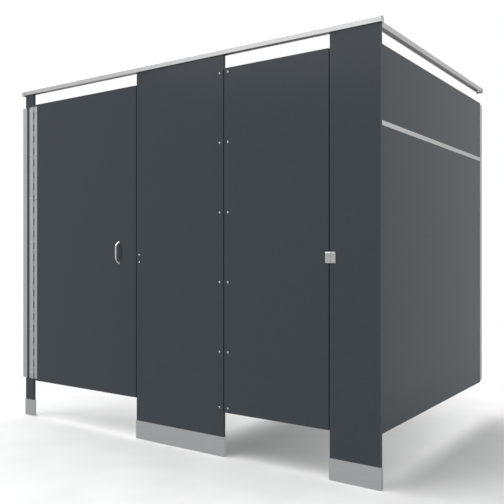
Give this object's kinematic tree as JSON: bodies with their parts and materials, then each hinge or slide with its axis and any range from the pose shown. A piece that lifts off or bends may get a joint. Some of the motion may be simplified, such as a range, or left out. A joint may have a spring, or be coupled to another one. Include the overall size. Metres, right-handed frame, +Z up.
{
  "type": "toilet partition",
  "caption": "Floor-mounted, overhead-braced toilet partition: pilasters, doors on piano hinges, panels in wall channels, headrails and slide latches.",
  "frame": {"origin": "on the floor, in the middle of the partition's footprint", "axes": "+X along the front from the left wall, +Y into the compartments, +Z up"},
  "size_m": [2.525, 1.6472, 2.111],
  "materials": {
    "board": "charcoal solid board, fine matt texture",
    "sheet_steel": "satin stainless sheet",
    "fitting_steel": "satin stainless casting",
    "fastener_steel": "stainless steel",
    "rail_aluminium": "clear anodised extrusion",
    "plated_steel": "zinc plated",
    "rubber": "black rubber"
  },
  "bodies": {
    "frame": {"centre_pilaster": "board", "centre_shoe": "sheet_steel", "channel_bolts": "fastener_steel", "channel_screws": "fastener_steel", "divider_joint_bar": "rail_aluminium", "divider_lower_board": "board", "divider_pilaster_channel": "sheet_steel", "divider_upper_board": "board", "divider_wall_channel": "sheet_steel", "end_panel_joint_bar": "rail_aluminium", "end_panel_lower_board": "board", "end_panel_pilaster_channel": "sheet_steel", "end_panel_upper_board": "board", "end_panel_wall_channel": "sheet_steel", "end_pilaster": "board", "end_shoe": "sheet_steel", "foot_screws": "plated_steel", "front_headrail": "rail_aluminium", "front_rail_wall_bracket": "sheet_steel", "headrail_corner_bracket": "sheet_steel", "headrail_end_cap": "rail_aluminium", "headrail_screws": "fastener_steel", "hinge_frame_bolts": "fastener_steel", "keeper_bolts": "fastener_steel", "left_hinge_frame_leaf": "sheet_steel", "left_hinge_pin": "sheet_steel", "left_keeper": "fitting_steel", "left_keeper_buffers": "rubber", "left_pilaster": "board", "left_shoe": "sheet_steel", "left_wall_channel": "sheet_steel", "levelling_bars": "plated_steel", "levelling_feet": "plated_steel", "levelling_nuts": "plated_steel", "right_hinge_frame_leaf": "sheet_steel", "right_hinge_pin": "sheet_steel", "right_keeper": "fitting_steel", "right_strike_buffer": "rubber", "right_strike_plate": "fitting_steel", "side_headrail": "rail_aluminium", "side_rail_wall_bracket": "sheet_steel"},
    "left_door": {"wide_door": "board", "left_hinge_door_leaf": "sheet_steel", "left_hinge_door_bolts": "fastener_steel", "left_latch_case": "fitting_steel", "pull_handle": "fitting_steel", "left_coat_hook": "fitting_steel", "left_hook_buffer": "rubber", "wide_door_screws": "fastener_steel"},
    "right_door": {"narrow_door": "board", "right_hinge_door_leaf": "sheet_steel", "right_hinge_door_bolts": "fastener_steel", "right_latch_case": "fitting_steel", "right_coat_hook": "fitting_steel", "right_hook_buffer": "rubber", "narrow_door_screws": "fastener_steel"},
    "left_latch": {"left_latch_bolt": "fitting_steel", "left_latch_knob": "fitting_steel"},
    "right_latch": {"right_latch_bolt": "fitting_steel", "right_latch_knob": "fitting_steel"}
  },
  "joints": [
    {"name": "left_door_swing", "type": "hinge", "parent": "frame", "child": "left_door", "pos_m": [-1.158, -0.80037, 0.242], "axis": [0, 0, -1], "range_deg": [0, 90]},
    {"name": "right_door_swing", "type": "hinge", "parent": "frame", "child": "right_door", "pos_m": [0.385, -0.76938, 0.242], "axis": [0, 0, 1], "range_deg": [0, 110]},
    {"name": "left_latch_slide", "type": "slide", "parent": "left_door", "child": "left_latch", "axis": [1, 0, 0], "range_m": [0, 0.028]},
    {"name": "right_latch_slide", "type": "slide", "parent": "right_door", "child": "right_latch", "axis": [1, 0, 0], "range_m": [0, 0.028]}
  ]
}
